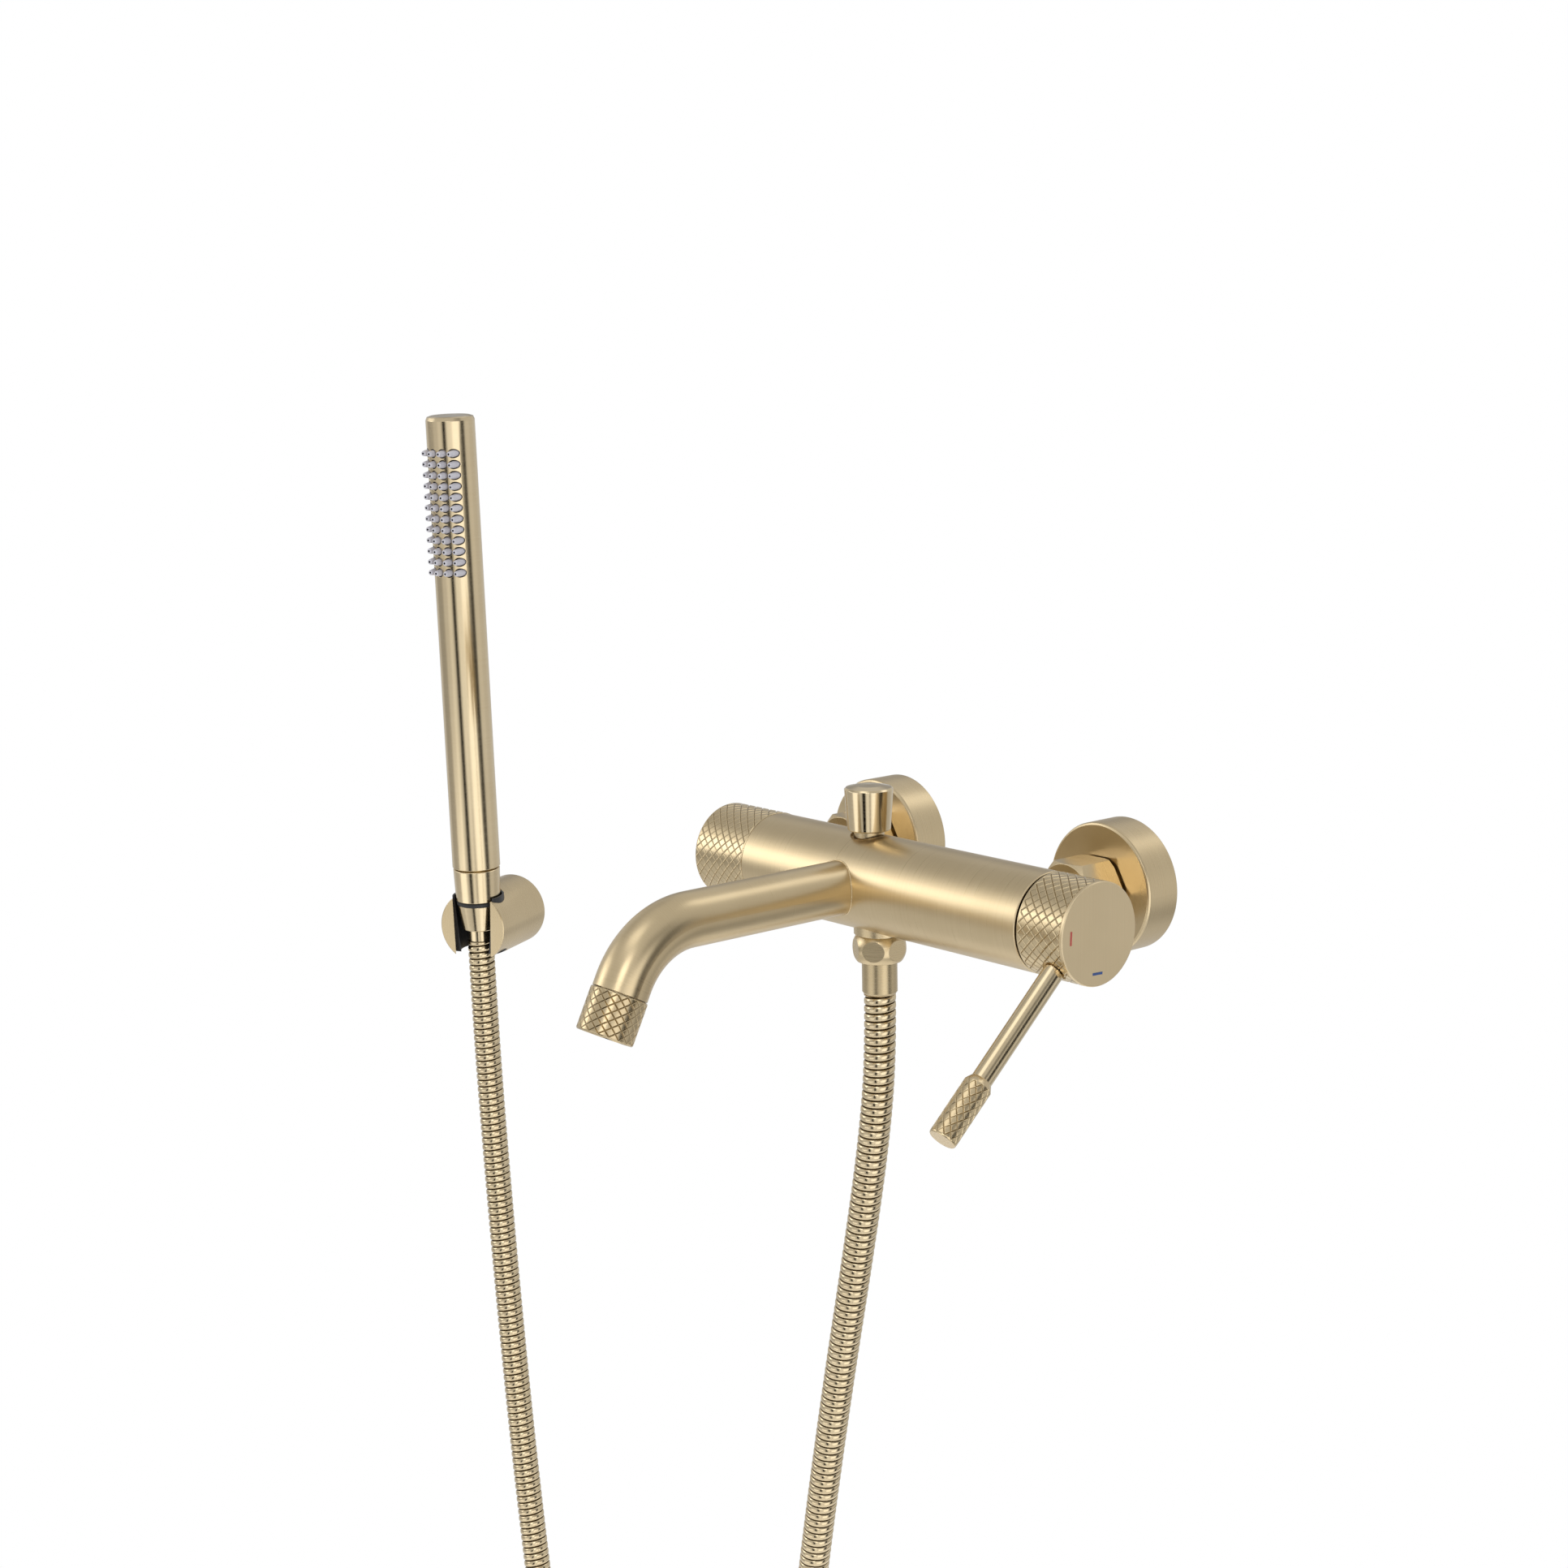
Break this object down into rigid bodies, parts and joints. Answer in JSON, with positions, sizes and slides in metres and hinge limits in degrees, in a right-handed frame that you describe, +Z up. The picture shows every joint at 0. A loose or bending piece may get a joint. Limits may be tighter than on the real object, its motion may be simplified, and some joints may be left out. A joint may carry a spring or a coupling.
{
  "type": "wall mounted bath faucet",
  "caption": "Wall mounted bath mixer with swan spout, pull-up diverter, side lever and knurled grips, with a stick hand shower on a flexible hose resting in an angled wall holder.",
  "frame": {"origin": "midway between the two wall inlets, on the wall plane", "axes": "+X along the mixer body towards the lever, +Y into the wall (the room is on the -Y side), +Z up"},
  "size_m": [0.5458, 0.2624, 0.9247],
  "materials": {
    "satin_gold": "brushed satin champagne gold",
    "polished_gold": "lighter half-polished champagne gold",
    "raw_brass": "bare turned brass",
    "black_rubber": "matt black rubber",
    "black_plastic": "moulded black plastic",
    "steel": "plain stainless steel",
    "cartridge_plastic": "light grey moulded plastic",
    "nozzle_silicone": "soft light grey silicone",
    "red_enamel": "red enamel fill",
    "blue_enamel": "blue enamel fill"
  },
  "bodies": {
    "mixer": {"aerator_collar": "satin_gold", "aerator_insert": "black_plastic", "aerator_washer": "black_rubber", "body_end_plug": "satin_gold", "cartridge_case": "cartridge_plastic", "cartridge_nut": "raw_brass", "diverter_bonnet": "raw_brass", "diverter_spring": "steel", "filter_washer_left": "black_rubber", "filter_washer_right": "black_rubber", "holder_body": "satin_gold", "holder_grub_screw": "steel", "holder_liner": "black_plastic", "holder_wall_plate": "satin_gold", "hose_ferrule": "polished_gold", "hose_nut": "polished_gold", "hose_washer": "black_rubber", "left_sleeve": "satin_gold", "mixer_body": "satin_gold", "outlet_nipple": "satin_gold", "shower_hose": "polished_gold", "spout_tube": "satin_gold", "union_nut_left": "satin_gold", "union_nut_right": "satin_gold", "wall_rosette_left": "satin_gold", "wall_rosette_right": "satin_gold", "wall_union_left": "satin_gold", "wall_union_right": "satin_gold"},
    "mixing_carrier": {"cartridge_turntable": "cartridge_plastic", "pivot_pin": "steel"},
    "handle": {"cartridge_spindle": "cartridge_plastic", "handle_hub": "satin_gold", "handle_disc": "satin_gold", "hot_mark": "red_enamel", "cold_mark": "blue_enamel", "handle_grub_screw": "steel", "lever_rod": "satin_gold", "lever_grip": "satin_gold"},
    "diverter": {"diverter_knob": "satin_gold", "diverter_stem": "raw_brass", "diverter_seal": "black_rubber"},
    "hose_end": {"swivel_cone": "polished_gold", "swivel_o_ring": "black_rubber"},
    "handset": {"handset_tube": "polished_gold", "spray_nozzles": "nozzle_silicone", "water_channel": "cartridge_plastic", "handset_bushing": "raw_brass", "handset_washer": "black_rubber", "cone_nut": "polished_gold"}
  },
  "joints": [
    {"name": "temperature", "type": "hinge", "parent": "mixer", "child": "mixing_carrier", "pos_m": [0.0868, -0.081, 0], "axis": [1, 0, 0], "range_deg": [-45, 45]},
    {"name": "flow", "type": "hinge", "parent": "mixing_carrier", "child": "handle", "pos_m": [0.0868, -0.081, 0], "axis": [0, -0.6691, 0.7431], "range_deg": [0, 12]},
    {"name": "diverter_lift", "type": "slide", "parent": "mixer", "child": "diverter", "axis": [0, 0, 1], "range_m": [0, 0.008], "stiffness_N_per_m": 150, "springref_m": -0.01, "deforming": ["diverter_spring"]},
    {"name": "handset_lift", "type": "slide", "parent": "mixer", "child": "hose_end", "axis": [0.0174, -0.0342, 0.9993], "range_m": [0, 0.06]},
    {"name": "handset_swivel", "type": "hinge", "parent": "hose_end", "child": "handset", "pos_m": [-0.375, -0.052, -0.088], "axis": [0.0174, -0.0342, 0.9993], "continuous": true}
  ]
}
